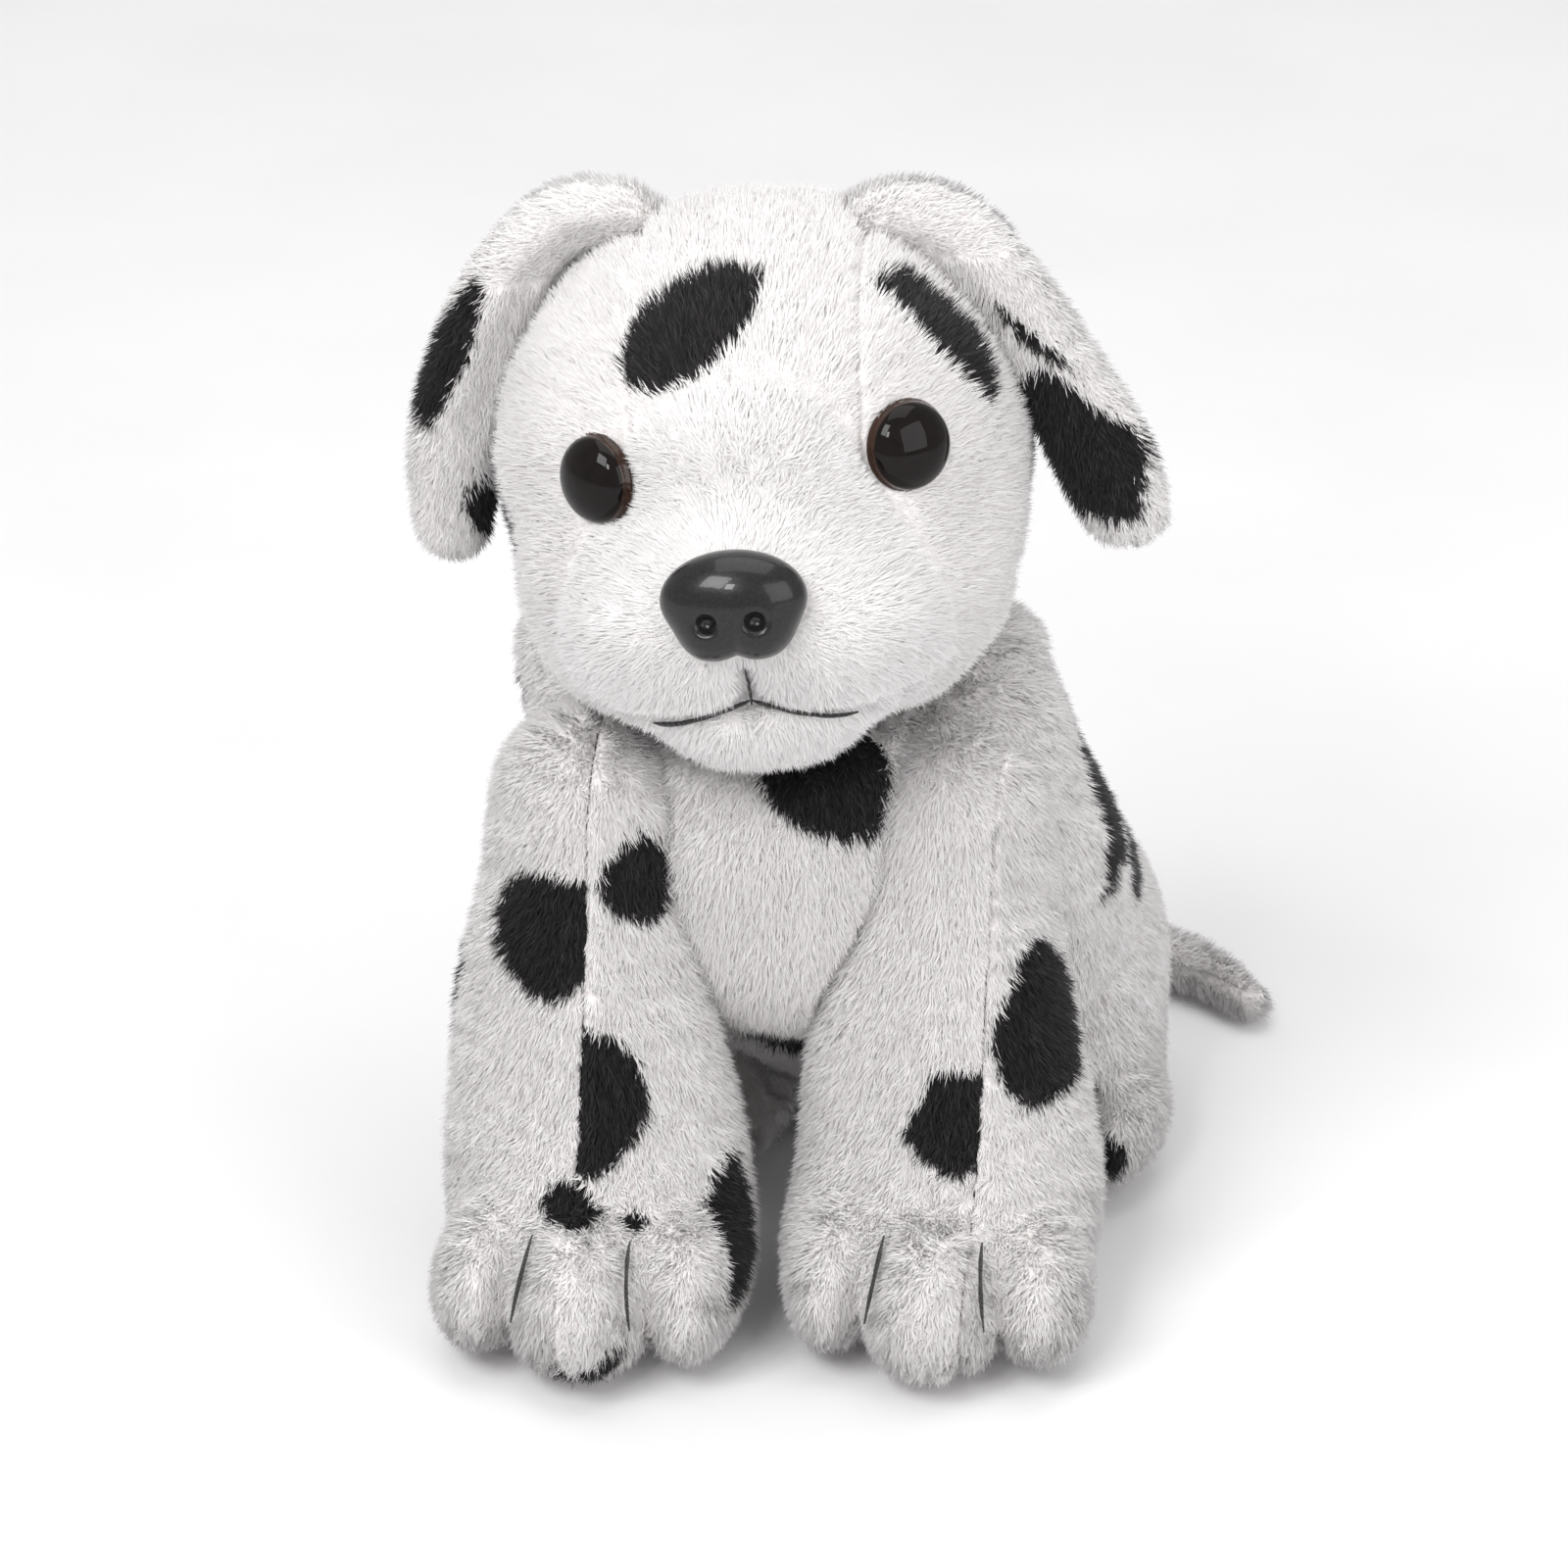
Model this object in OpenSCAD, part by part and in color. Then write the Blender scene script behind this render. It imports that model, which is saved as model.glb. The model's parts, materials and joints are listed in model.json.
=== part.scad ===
// Seated plush puppy. It faces -Y, its left side is +X and it sits on the plane z = 0.
// A station is [x, y, z, rx, ry, rz]: one ellipsoid of a soft limb. Neighbouring stations are hulled.

/* [Fabric and fill] */
// Thickness of the plush fabric
skin_t = 1.6; // [1.2:0.2:2]
// Gap along a sewn seam and between the fabric and its fill
seam_gap = 0.1; // [0.06:0.02:0.16]
// Clearance between parts that move on each other
joint_gap = 0.6; // [0.5:0.1:0.8]
// Thickness of the sewing thread
thread_d = 0.9; // [0.7:0.1:1.1]

/* [Head] */
// Head centre, side to side
head_x = -4.5; // [-5.5:0.5:-3]
// Head centre, front to back
head_y = -38; // [-39:0.5:-37]
// Head centre, height
head_z = 111; // [110.5:0.5:112]
// Turn of the head to its own left, in degrees
head_yaw = 2; // [-2:1:5]
// Tilt of the head, left side up, in degrees
head_tilt = 6; // [0:1:8]
// Half the width of the head
head_rx = 35; // [34:0.5:35.5]
// Distance of the nose in front of the head centre
nose_reach = 41; // [40:0.5:42]
// Diameter of an eye
eye_d = 11.5; // [10:0.5:12.5]

/* [Body] */
// Sideways lean of the chest from the middle of the seat
chest_lean = -3; // [-4:0.5:-1]
// Height of the shoulder pivots
shoulder_z = 66; // [65:0.5:67]
// Front-to-back offset of the right front leg ahead of the left one
stagger = 6; // [2:1:7]
// Distance of each front leg from the middle
leg_x = 22.5; // [22.5:0.5:24]

/* [Range of motion] */
// Forward swing of a front leg, in degrees
front_swing = 20; // [10:5:20]
// Lift of a hind foot, in degrees
hind_swing = 20; // [10:5:20]
// Lift of an ear, in degrees
ear_swing = 70; // [40:10:80]
// Swing of the tail away from the body, in degrees
tail_swing = 70; // [40:10:80]

/* [Hidden] */

white = [0.95, 0.94, 0.92];
fill_white = [0.99, 0.99, 0.97];
black = [0.05, 0.05, 0.05];
plastic = [0.2, 0.12, 0.08];

far = 200;
head_pos = [head_x, head_y, head_z];
eye_shank_d = 3;
eye_seat = 0.9;
shank_l = 8;
washer_d = 11;
washer_t = 1.2;
sole_z = 3;
shoulder_y = -46;
hip = [25, -4, 23];
neck_yaws = [-20, 20];
head_nods = [-12, 8];
tail_root = [6, 24, 12];
ear_root = [14, 6, 29];
seat_x = 9;

torso_stations = [
    [chest_lean - 1, -27, 80, 36, 22, 12],
    [chest_lean + 2, -32, 71, 37, 26, 14],
    [chest_lean + 4, -33, 62, 38, 28, 17],
    [chest_lean + 7, -28, 52, 38.5, 29, 20],
    [chest_lean + 9, -21, 43, 37.5, 28, 21],
    [seat_x - 2, -13, 36, 37, 28, 23],
    [seat_x - 1, -5, 31, 36, 26, 25],
    [seat_x, 1, 25, 35, 26, 27],
    [seat_x, 4, 25, 33, 26, 26],
];
// The upper part of each front leg leans sideways with the chest.
function leg_station(side, x, y, z, rx, ry, rz) =
    [leg_x + x + side * chest_lean * min(max((z - 10) / 35, 0), 1), shoulder_y + y, z, rx, ry, rz];
function front_leg_stations(side) = [
    leg_station(side, 0, 0, shoulder_z, 14, 15.5, 15),
    leg_station(side, 0, -2, 56, 15.5, 14.5, 13),
    leg_station(side, 0.5, -5, 46, 17, 14, 12),
    leg_station(side, 1, -8, 36, 18.5, 14, 12),
    leg_station(side, 1, -10, 27, 20, 14.5, 12),
    leg_station(side, 0.5, -13, 19, 20.8, 15.5, 13),
    leg_station(side, 0, -17, 13.5, 21, 16, 13.5),
    leg_station(side, 0, -24, 11.5, 20.5, 14.5, 12.5),
    leg_station(side, 0, -31, 10.5, 18, 14, 11.5),
];
hind_leg_stations = [
    [hip[0], hip[1], hip[2], 13, 23, 23],
    [hip[0], hip[1] - 4, 17, 13, 21, 17.5],
    [hip[0] + 0.5, hip[1] - 8, 12.5, 13, 19, 13],
    [hip[0] + 1, hip[1] - 12, 10, 13.5, 15.5, 10.5],
    [hip[0] + 1, hip[1] - 16, 9, 12.5, 13, 9.5],
];
// The tail lies in an arc round the left haunch: a station by fraction of its length.
tail_centre = [20, 5];
tail_from = 118;
tail_to = 35;
tail_n = 9;
tail_seam_z = 5.5;
function tail_station(k) = let (a = tail_from + (tail_to - tail_from) * k,
    reach = 22 + 20 * sin(90 * k), r = 7.6 - 3.4 * k)
    [tail_centre[0] + reach * 1.05 * cos(a), tail_centre[1] + reach * sin(a), r, r, r, r];
tail_stations = [[tail_root[0], tail_root[1], tail_root[2], 9, 9, 9],
    for (i = [1:tail_n]) tail_station(i / tail_n)];

head_stations = [
    [0, 0, 2.5, head_rx, 33, 33.5],
    [0, -9, -5, 31, 27, 27.5],
    [0, -17, -9, 27, 22, 21],
    [0, -24, -11, 23.5, 17.5, 18.5],
];
// The two ears flop differently, so each has its own stations.
ear_left_stations = [
    [ear_root[0], ear_root[1], ear_root[2], 5.5, 5.5, 5.5],
    [18.5, 4, 29, 6.5, 6, 7.5],
    [24, 3, 28, 7, 6, 8.5],
    [29.5, 2, 24, 7, 6, 8.5],
    [34, 1, 17.5, 7, 5.5, 8],
    [38, 1, 10, 7, 5.5, 7.5],
    [41.5, 1, 2.5, 7.5, 5, 7],
    [44, 1, -4.5, 7.5, 5, 7],
    [45.5, 1, -10, 6.5, 4.5, 5.5],
];
ear_right_stations = [
    [ear_root[0], ear_root[1], ear_root[2], 5.5, 5.5, 5.5],
    [17, 4, 33, 6, 6, 6],
    [22.5, 3, 33, 6, 6, 6.5],
    [28, 2, 29, 6.5, 6, 7],
    [32.5, 1, 23, 7, 5.5, 7],
    [36, 1, 16, 7.5, 5.5, 7],
    [39, 1, 8.5, 7.5, 5, 7],
    [41, 1, 1, 7, 5, 7],
    [42, 1, -6, 6, 4.5, 6],
];
function ear_stations(side) = side > 0 ? ear_left_stations : ear_right_stations;
ear_split_y = 2;

// One ellipsoid, made larger on every side by grow.
module ball(s, grow, facets)
    translate([s[0], s[1], s[2]])
        scale([s[3] + grow, s[4] + grow, s[5] + grow])
            sphere(r = 1, $fn = facets);

module chain(stations, grow = 0, facets = 12)
    for (i = [0:len(stations) - 2])
        hull() {
            ball(stations[i], grow, facets);
            ball(stations[i + 1], grow, facets);
        }

module above(z) translate([-far, -far, z]) cube([2 * far, 2 * far, far]);
module below(z) translate([-far, -far, z - far]) cube([2 * far, 2 * far, far]);
module left_of(x) translate([x, -far, -far]) cube([far, 2 * far, 2 * far]);
module front_of(y) translate([-far, y - far, -far]) cube([2 * far, far, 2 * far]);
module behind(y) translate([-far, y, -far]) cube([2 * far, far, 2 * far]);

// A soft limb that rests on the floor, grown or shrunk by grow.
module soft(stations, grow = 0, facets = 12)
    intersection() {
        chain(stations, grow, facets);
        above(-min(grow, 0));
    }

// The fabric skin of a soft limb, and the fill inside it.
module skin(stations, facets = 12)
    difference() {
        soft(stations, 0, facets);
        soft(stations, -skin_t, facets);
    }
module fill(stations, facets = 12) soft(stations, -skin_t - seam_gap, facets);

// side is 1 for the left of the animal and -1 for the right.
module sided(side) mirror([side < 0 ? 1 : 0, 0, 0]) children();
module front_leg_place(side, swing = 0)
    translate([0, side * stagger / 2, 0])
        translate([0, shoulder_y, shoulder_z]) rotate([-swing, 0, 0])
            translate([0, -shoulder_y, -shoulder_z]) sided(side) children();
module hind_leg_place(side, swing = 0)
    translate([seat_x, hip[1], hip[2]]) rotate([-swing, 0, 0])
        translate([0, -hip[1], -hip[2]]) sided(side) children();
module head_place() translate(head_pos) rotate([0, -head_tilt, head_yaw]) children();
module ear_place(side, swing = 0)
    sided(side) translate(ear_root) rotate([0, -swing, 0]) translate(-ear_root) children();
module tail_place(swing = 0)
    translate(tail_root) rotate([0, 0, swing]) translate(-tail_root) children();

// Room that the moving parts need in the torso: the hull of a limb's top over its whole swing.
module torso_room() {
    for (side = [-1, 1]) {
        hull() for (a = [0:front_swing / 2:front_swing], i = [0, 2, 4])
            front_leg_place(side, a) ball(front_leg_stations(side)[i], joint_gap, 12);
        hull() for (a = [0:hind_swing / 2:hind_swing], i = [0, 2, 4])
            hind_leg_place(side, a) ball(hind_leg_stations[i], joint_gap, 12);
    }
    hull() for (a = [0:tail_swing / 4:tail_swing], i = [0, 2])
        tail_place(a) ball(tail_stations[i], joint_gap, 12);
    translate(head_pos) sphere(r = head_rx + joint_gap + thread_d, $fn = 28);
    translate(head_pos) hull() for (yaw = neck_yaws, nod = head_nods, i = [1, 3])
        rotate([nod, 0, yaw]) rotate([0, -head_tilt, head_yaw]) ball(head_stations[i], joint_gap, 12);
}

module torso_skin()
    difference() {
        skin(torso_stations, torso_facets);
        torso_room();
    }

torso_facets = 16;
head_facets = 18;
side_seam = 17;
chest_low = 20;
chest_back = -36;
module chest_region(margin)
    intersection() {
        translate([chest_lean - side_seam + margin, -far, sole_z + chest_low + margin])
            cube([2 * (side_seam - margin), far, far]);
        front_of(chest_back - margin);
    }

module torso_stuffing()
    color(fill_white) difference() {
        fill(torso_stations, torso_facets);
        torso_room();
        pellet_form(seam_gap);
    }

// The pellet bag lies on the seat, between the thighs, in a pocket of the fill.
bag_stations = [[seat_x, 1, 11, 8.5, 9, 10.5], [seat_x - 1, -7, 20, 8.5, 9, 10]];
module pellet_form(grow) chain(bag_stations, grow, 20);
module pellet_bag()
    color("tan") intersection() {
        pellet_form(0);
        above(skin_t + 2 * seam_gap);
    }

module body_panel(side)
    color(white) difference() {
        intersection() {
            torso_skin();
            above(sole_z + seam_gap);
            sided(side) left_of(seam_gap / 2);
        }
        chest_region(0);
    }
module body_panel_left() body_panel(1);
module body_panel_right() body_panel(-1);

module chest_panel()
    color(white) intersection() {
        torso_skin();
        chest_region(seam_gap);
    }

module seat_panel()
    color(white) intersection() {
        torso_skin();
        below(sole_z);
    }

// Ladder-stitch ring that closes the neck; it lies in the gap under the head.
neck_ring_angle = 70;
neck_ring_reach = head_rx + joint_gap / 2 + thread_d / 2;
module neck_thread()
    color(white) translate(head_pos)
        rotate_extrude($fn = 64)
            translate(neck_ring_reach * [cos(neck_ring_angle), -sin(neck_ring_angle)])
                circle(r = thread_d / 2 - seam_gap, $fn = 16);

// Head, in its own frame with the origin at its centre.
// The two eyes are set a little to the left of the middle.
eye_x = 19.5;
eye_shift = 1.8;
eye_z = 8.3;
eye_turn = [70, 0, 34];
nose_z = -3;
function face_y(x, z) = -head_stations[0][4] * sqrt(1 - pow(x / head_rx, 2)
    - pow((z - head_stations[0][2]) / head_stations[0][5], 2));
module eye_frame(side)
    let (x = side * eye_x + eye_shift)
        translate([x, face_y(x, eye_z), eye_z]) sided(side) rotate(eye_turn) children();
module nose_frame() translate([0, -nose_reach, nose_z]) rotate([84, 0, 0]) children();

module eye_form(grow = 0)
    intersection() {
        translate([0, 0, -2 - eye_seat]) sphere(r = eye_d / 2 + 0.3 + grow, $fn = 32);
        translate([0, 0, -eye_seat - grow]) cylinder(r = eye_d / 2 + grow, h = eye_d, $fn = 32);
    }
module shank(grow = 0)
    translate([0, 0, -shank_l]) cylinder(d = eye_shank_d + 2 * grow, h = shank_l, $fn = 16);
module washer(grow = 0)
    translate([0, 0, -skin_t - eye_seat - 0.6 - washer_t - grow])
        cylinder(d = washer_d + 2 * grow, h = washer_t + 2 * grow, $fn = 24);

module eye(side)
    color(plastic) head_place() eye_frame(side) union() {
        eye_form();
        translate([0, 0, 0.1 - eye_seat]) shank();
    }
module eye_left() eye(1);
module eye_right() eye(-1);
module eye_washer(side)
    color("ivory") head_place() eye_frame(side) difference() {
        washer();
        translate([0, 0, 1]) shank(0.05);
        translate([0, 0, -5]) shank(0.05);
    }
module eye_washer_left() eye_washer(1);
module eye_washer_right() eye_washer(-1);

// Nose: a rounded triangular button with its flat back on the muzzle.
nose_w = 18;
nose_h = 13.5;
nose_t = 5;
nose_seat = 2;
module nose_outline(grow)
    offset(r = 3 + grow, $fn = 32)
        polygon([[-nose_w / 2 + 3, nose_h / 2 - 3], [nose_w / 2 - 3, nose_h / 2 - 3],
            [nose_w / 2 - 4.5, 0], [1.5, -nose_h / 2 + 3], [-1.5, -nose_h / 2 + 3],
            [-nose_w / 2 + 4.5, 0]]);
module nose_form(grow = 0)
    translate([0, 0, -nose_seat - grow])
        hull() {
            linear_extrude(nose_seat + 1.5 + grow) nose_outline(grow);
            linear_extrude(nose_seat + nose_t + 2 * grow) offset(delta = -3) nose_outline(grow);
        }
module nose()
    color(black) head_place() nose_frame() union() {
        nose_form();
        translate([0, 0, -nose_seat + 0.1]) shank();
    }
module nose_washer()
    color("ivory") head_place() nose_frame() translate([0, 0, -nose_seat - 1]) difference() {
        washer();
        translate([0, 0, 1]) shank(0.05);
        translate([0, 0, -5]) shank(0.05);
    }

module face_room(grow = seam_gap) {
    for (side = [-1, 1]) eye_frame(side) {
        eye_form(grow);
        translate([0, 0, -eye_seat]) shank(grow);
        washer(grow);
    }
    nose_frame() {
        nose_form(grow);
        translate([0, 0, -nose_seat]) shank(grow);
        translate([0, 0, -nose_seat - 1]) washer(grow);
    }
    for (side = [-1, 1])
        hull() for (a = [0:ear_swing / 4:ear_swing], i = [0, 1])
            ear_place(side, a) ball(ear_stations(side)[i], joint_gap, 12);
}

// Mouth: a short upright stitch under the nose and one long stitch out to each side.
muzzle = head_stations[3];
function muzzle_point(x, z) = [x, muzzle[1] - muzzle[4] * sqrt(1 - pow(x / muzzle[3], 2)
    - pow((z - muzzle[2]) / muzzle[5], 2)), z];
mouth_z = -19;
mouth_half = 14;
mouth_steps = 7;
module mouth_form(r) {
    for (side = [-1, 1], i = [0:mouth_steps - 1])
        hull() for (k = [i, i + 1])
            let (t = k / mouth_steps)
                translate(muzzle_point(side * mouth_half * t, mouth_z - 2.5 * sin(150 * t)))
                    sphere(r = r, $fn = 6);
    for (i = [0:1])
        hull() for (k = [i, i + 1])
            translate(muzzle_point(0, mouth_z + 2.5 * k)) sphere(r = r, $fn = 6);
}
module mouth_thread() color(black) head_place() mouth_form(thread_d / 2);

gusset_half = 14;
muzzle_y = -27;
chin_z = -17;
module head_skin()
    difference() {
        chain(head_stations, 0, head_facets);
        chain(head_stations, -skin_t, head_facets);
        face_room();
        mouth_form(thread_d / 2 + seam_gap);
    }
module head_stuffing()
    color(fill_white) head_place() difference() {
        chain(head_stations, -skin_t - seam_gap, head_facets);
        face_room();
    }
module head_panel(side)
    color(white) head_place() intersection() {
        head_skin();
        behind(muzzle_y + seam_gap);
        sided(side) union() {
            intersection() {
                left_of(gusset_half + seam_gap);
                above(0);
            }
            intersection() {
                left_of(seam_gap / 2);
                below(0);
            }
        }
    }
module head_panel_left() head_panel(1);
module head_panel_right() head_panel(-1);
module forehead_gusset()
    color(white) head_place() intersection() {
        head_skin();
        behind(muzzle_y + seam_gap);
        above(seam_gap);
        translate([-gusset_half, -far, -far]) cube([2 * gusset_half, 2 * far, 2 * far]);
    }
module muzzle_panel()
    color(white) head_place() intersection() {
        head_skin();
        front_of(muzzle_y);
        above(chin_z + seam_gap);
    }
module chin_panel()
    color(white) head_place() intersection() {
        head_skin();
        front_of(muzzle_y);
        below(chin_z);
    }

module ear_layer(side, outer)
    color(outer ? black : white) head_place() intersection() {
        ear_form(side);
        if (outer) behind(ear_split_y + seam_gap);
        else front_of(ear_split_y);
    }
// The ear lies against the head, and its root is sewn into a pocket there.
module ear_form(side) {
    difference() {
        sided(side) chain(ear_stations(side), 0, 12);
        chain(head_stations, joint_gap, head_facets);
    }
    sided(side) chain([ear_stations(side)[0], ear_stations(side)[1]], 0, 12);
}
module ear_left_outer() ear_layer(1, true);
module ear_left_lining() ear_layer(1, false);
module ear_right_outer() ear_layer(-1, true);
module ear_right_lining() ear_layer(-1, false);

module tail_upper()
    color(white) intersection() {
        skin(tail_stations);
        above(tail_seam_z + seam_gap);
    }
module tail_under()
    color(white) intersection() {
        skin(tail_stations);
        below(tail_seam_z);
    }
module tail_stuffing() color(fill_white) fill(tail_stations);

// Thread pulled over the toes, two stitches on each paw.
stitch_steps = 4;
module toe_stitch_form(toe, r, spread)
    for (s = [-1, 1], i = [0:stitch_steps - 1])
        hull() for (k = [i, i + 1])
            let (a = 80 - 95 * k / stitch_steps, c = sqrt(1 - pow(spread / toe[3], 2)))
                translate([toe[0] + s * spread, toe[1] - toe[4] * c * cos(a), toe[2] + toe[5] * c * sin(a)])
                    sphere(r = r, $fn = 6);
front_toe = front_leg_stations(1)[8];
hind_toe = hind_leg_stations[4];
front_spread = 6.5;
hind_spread = 4;

module leg_skin(stations, toe, spread)
    difference() {
        skin(stations);
        toe_stitch_form(toe, thread_d / 2 + seam_gap, spread);
    }
module leg_fill(stations, toe, spread)
    difference() {
        fill(stations);
        toe_stitch_form(toe, thread_d / 2 + seam_gap, spread);
    }
module leg_outer(stations, toe, spread)
    intersection() {
        leg_skin(stations, toe, spread);
        left_of(toe[0] + seam_gap / 2);
        above(sole_z + seam_gap);
    }
module leg_inner(stations, toe, spread)
    difference() {
        leg_skin(stations, toe, spread);
        left_of(toe[0] - seam_gap / 2);
        below(sole_z + seam_gap);
    }
module leg_sole(stations, toe, spread)
    intersection() {
        leg_skin(stations, toe, spread);
        below(sole_z);
    }

module front_leg_outer(side)
    color(white) front_leg_place(side) leg_outer(front_leg_stations(side), front_toe, front_spread);
module front_leg_inner(side)
    color(white) front_leg_place(side) leg_inner(front_leg_stations(side), front_toe, front_spread);
module front_leg_sole(side)
    color(white) front_leg_place(side) leg_sole(front_leg_stations(side), front_toe, front_spread);
module front_leg_stuffing(side)
    color(fill_white) front_leg_place(side) leg_fill(front_leg_stations(side), front_toe, front_spread);
module front_toe_stitches(side)
    color(black) front_leg_place(side) toe_stitch_form(front_toe, thread_d / 2, front_spread);
module hind_leg_outer(side)
    color(white) hind_leg_place(side) leg_outer(hind_leg_stations, hind_toe, hind_spread);
module hind_leg_inner(side)
    color(white) hind_leg_place(side) leg_inner(hind_leg_stations, hind_toe, hind_spread);
module hind_leg_sole(side)
    color(white) hind_leg_place(side) leg_sole(hind_leg_stations, hind_toe, hind_spread);
module hind_leg_stuffing(side)
    color(fill_white) hind_leg_place(side) leg_fill(hind_leg_stations, hind_toe, hind_spread);
module hind_toe_stitches(side)
    color(black) hind_leg_place(side) toe_stitch_form(hind_toe, thread_d / 2, hind_spread);

torso_stuffing();
pellet_bag();
body_panel_left();
body_panel_right();
chest_panel();
seat_panel();
neck_thread();
head_stuffing();
head_panel_left();
head_panel_right();
forehead_gusset();
muzzle_panel();
chin_panel();
eye_left();
eye_right();
eye_washer_left();
eye_washer_right();
nose();
nose_washer();
mouth_thread();
ear_left_outer();
ear_left_lining();
ear_right_outer();
ear_right_lining();
tail_upper();
tail_under();
tail_stuffing();
front_leg_outer(1);  // front_leg_left_outer
front_leg_inner(1);  // front_leg_left_inner
front_leg_sole(1);  // front_leg_left_sole
front_leg_stuffing(1);  // front_leg_left_stuffing
front_leg_outer(-1);  // front_leg_right_outer
front_leg_inner(-1);  // front_leg_right_inner
front_leg_sole(-1);  // front_leg_right_sole
front_leg_stuffing(-1);  // front_leg_right_stuffing
hind_leg_outer(1);  // hind_leg_left_outer
hind_leg_inner(1);  // hind_leg_left_inner
hind_leg_sole(1);  // hind_leg_left_sole
hind_leg_stuffing(1);  // hind_leg_left_stuffing
hind_leg_outer(-1);  // hind_leg_right_outer
hind_leg_inner(-1);  // hind_leg_right_inner
hind_leg_sole(-1);  // hind_leg_right_sole
hind_leg_stuffing(-1);  // hind_leg_right_stuffing
front_toe_stitches(1);  // front_left_toe_stitches
front_toe_stitches(-1);  // front_right_toe_stitches
hind_toe_stitches(1);  // hind_left_toe_stitches
hind_toe_stitches(-1);  // hind_right_toe_stitches
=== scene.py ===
"""Seated plush puppy: fabric panels, pile, eyes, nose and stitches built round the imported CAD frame."""

import json
import math

import bpy
import numpy as np
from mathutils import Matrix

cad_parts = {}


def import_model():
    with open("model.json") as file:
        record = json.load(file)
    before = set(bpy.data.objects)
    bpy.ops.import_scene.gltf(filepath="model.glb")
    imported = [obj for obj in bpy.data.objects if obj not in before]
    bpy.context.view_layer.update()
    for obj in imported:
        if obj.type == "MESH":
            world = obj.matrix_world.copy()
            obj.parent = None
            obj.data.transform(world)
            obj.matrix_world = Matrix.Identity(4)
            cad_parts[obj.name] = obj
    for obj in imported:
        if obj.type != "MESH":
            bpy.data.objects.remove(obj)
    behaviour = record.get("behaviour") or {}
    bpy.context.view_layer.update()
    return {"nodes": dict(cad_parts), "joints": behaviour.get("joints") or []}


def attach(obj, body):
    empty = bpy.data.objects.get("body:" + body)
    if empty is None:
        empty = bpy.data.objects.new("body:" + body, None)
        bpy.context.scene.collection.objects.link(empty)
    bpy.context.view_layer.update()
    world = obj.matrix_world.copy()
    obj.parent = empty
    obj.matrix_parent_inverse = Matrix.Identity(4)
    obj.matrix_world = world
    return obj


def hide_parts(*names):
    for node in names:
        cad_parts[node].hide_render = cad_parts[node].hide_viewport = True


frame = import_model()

import openvdb
from mathutils import Matrix, Vector

MM = 0.001
FAR = 99.0            # a distance in mm that no limb reaches

# ---------------------------------------------------------------- driving dimensions, in mm and degrees

PILE = 1.7            # how far the woven base lies under the outer surface of the pile
FABRIC = 2.2          # thickness of a fabric panel
SEAM_ROUND = 2.4      # how far a panel's edge rolls in towards its seam
SEAM_LAP = 0.45       # how far two sewn panels run past their seam
FLOOR_GAP = 0.35      # height of the base fabric over the floor where it rests

TUFT_LONG = 2.7
TUFT_WIDE = 0.13      # radius of a tuft at its root
TUFTS_PER_MM2 = 13
TUFTS_PER_PIECE = 48000

HEAD_TILT = 6
HEAD_YAW = 2
EYE_R = 5.9
EYE_DOME = 3.3        # height of an eye's dome over its rim
EYE_SIDES = 48
WASHER_R = 5.0
NOSE_W, NOSE_H = 18.4, 13.6
NOSE_LEAN = -8
THREAD_R = 0.3

CAMERA_AZIMUTH = 8
CAMERA_ELEVATION = 25
CAMERA_DISTANCE = 800
CAMERA_LENS = 141

rng = np.random.default_rng(7)


def joint_at(name):
    """Pivot of a CAD joint, in mm."""
    return next(np.array(j["pos_m"]) / MM for j in frame["joints"] if j["name"] == name)


def turned(tilt, yaw):
    """Rotation of the head: tilt about its own front-to-back axis, then yaw about the vertical."""
    return np.array(Matrix.Rotation(math.radians(yaw), 3, "Z") @ Matrix.Rotation(math.radians(-tilt), 3, "Y"))


# ---------------------------------------------------------------- distance fields

def smin(a, b, k):
    h = np.maximum(k - np.abs(a - b), 0) / k
    return np.minimum(a, b) - h * h * k / 4


def smax(a, b, k):
    return -smin(-a, -b, k)


def ellipsoid(X, Y, Z, c, r):
    x, y, z = (X - c[0]) / r[0], (Y - c[1]) / r[1], (Z - c[2]) / r[2]
    far = np.sqrt(x * x + y * y + z * z)
    slope = np.sqrt((x / r[0]) ** 2 + (y / r[1]) ** 2 + (z / r[2]) ** 2)
    return far * (far - 1) / np.maximum(slope, 1e-4)


def capsule(X, Y, Z, a, b, r):
    a, b = np.array(a, float), np.array(b, float)
    d = b - a
    t = ((X - a[0]) * d[0] + (Y - a[1]) * d[1] + (Z - a[2]) * d[2]) / max(d @ d, 1e-6)
    t = np.clip(t, 0, 1)
    return np.sqrt((X - a[0] - t * d[0]) ** 2 + (Y - a[1] - t * d[1]) ** 2 + (Z - a[2] - t * d[2]) ** 2) - r


def along(stations, per_span):
    """Stations of a limb, interpolated smoothly."""
    s = np.array(stations, float)
    ext = np.vstack([2 * s[0] - s[1], s, 2 * s[-1] - s[-2]])
    out = []
    for i in range(len(s) - 1):
        p0, p1, p2, p3 = ext[i:i + 4]
        for t in np.arange(per_span) / per_span:
            out.append(0.5 * (2 * p1 + (p2 - p0) * t + (2 * p0 - 5 * p1 + 4 * p2 - p3) * t * t
                              + (3 * p1 - p0 - 3 * p2 + p3) * t ** 3))
    return np.array(out + [s[-1]])


def chain(X, Y, Z, stations, shrink=PILE, per_span=3):
    d = None
    for s in along(stations, per_span):
        e = ellipsoid(X, Y, Z, s[:3], s[3:] - shrink)
        d = e if d is None else np.minimum(d, e)
    return d


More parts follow.
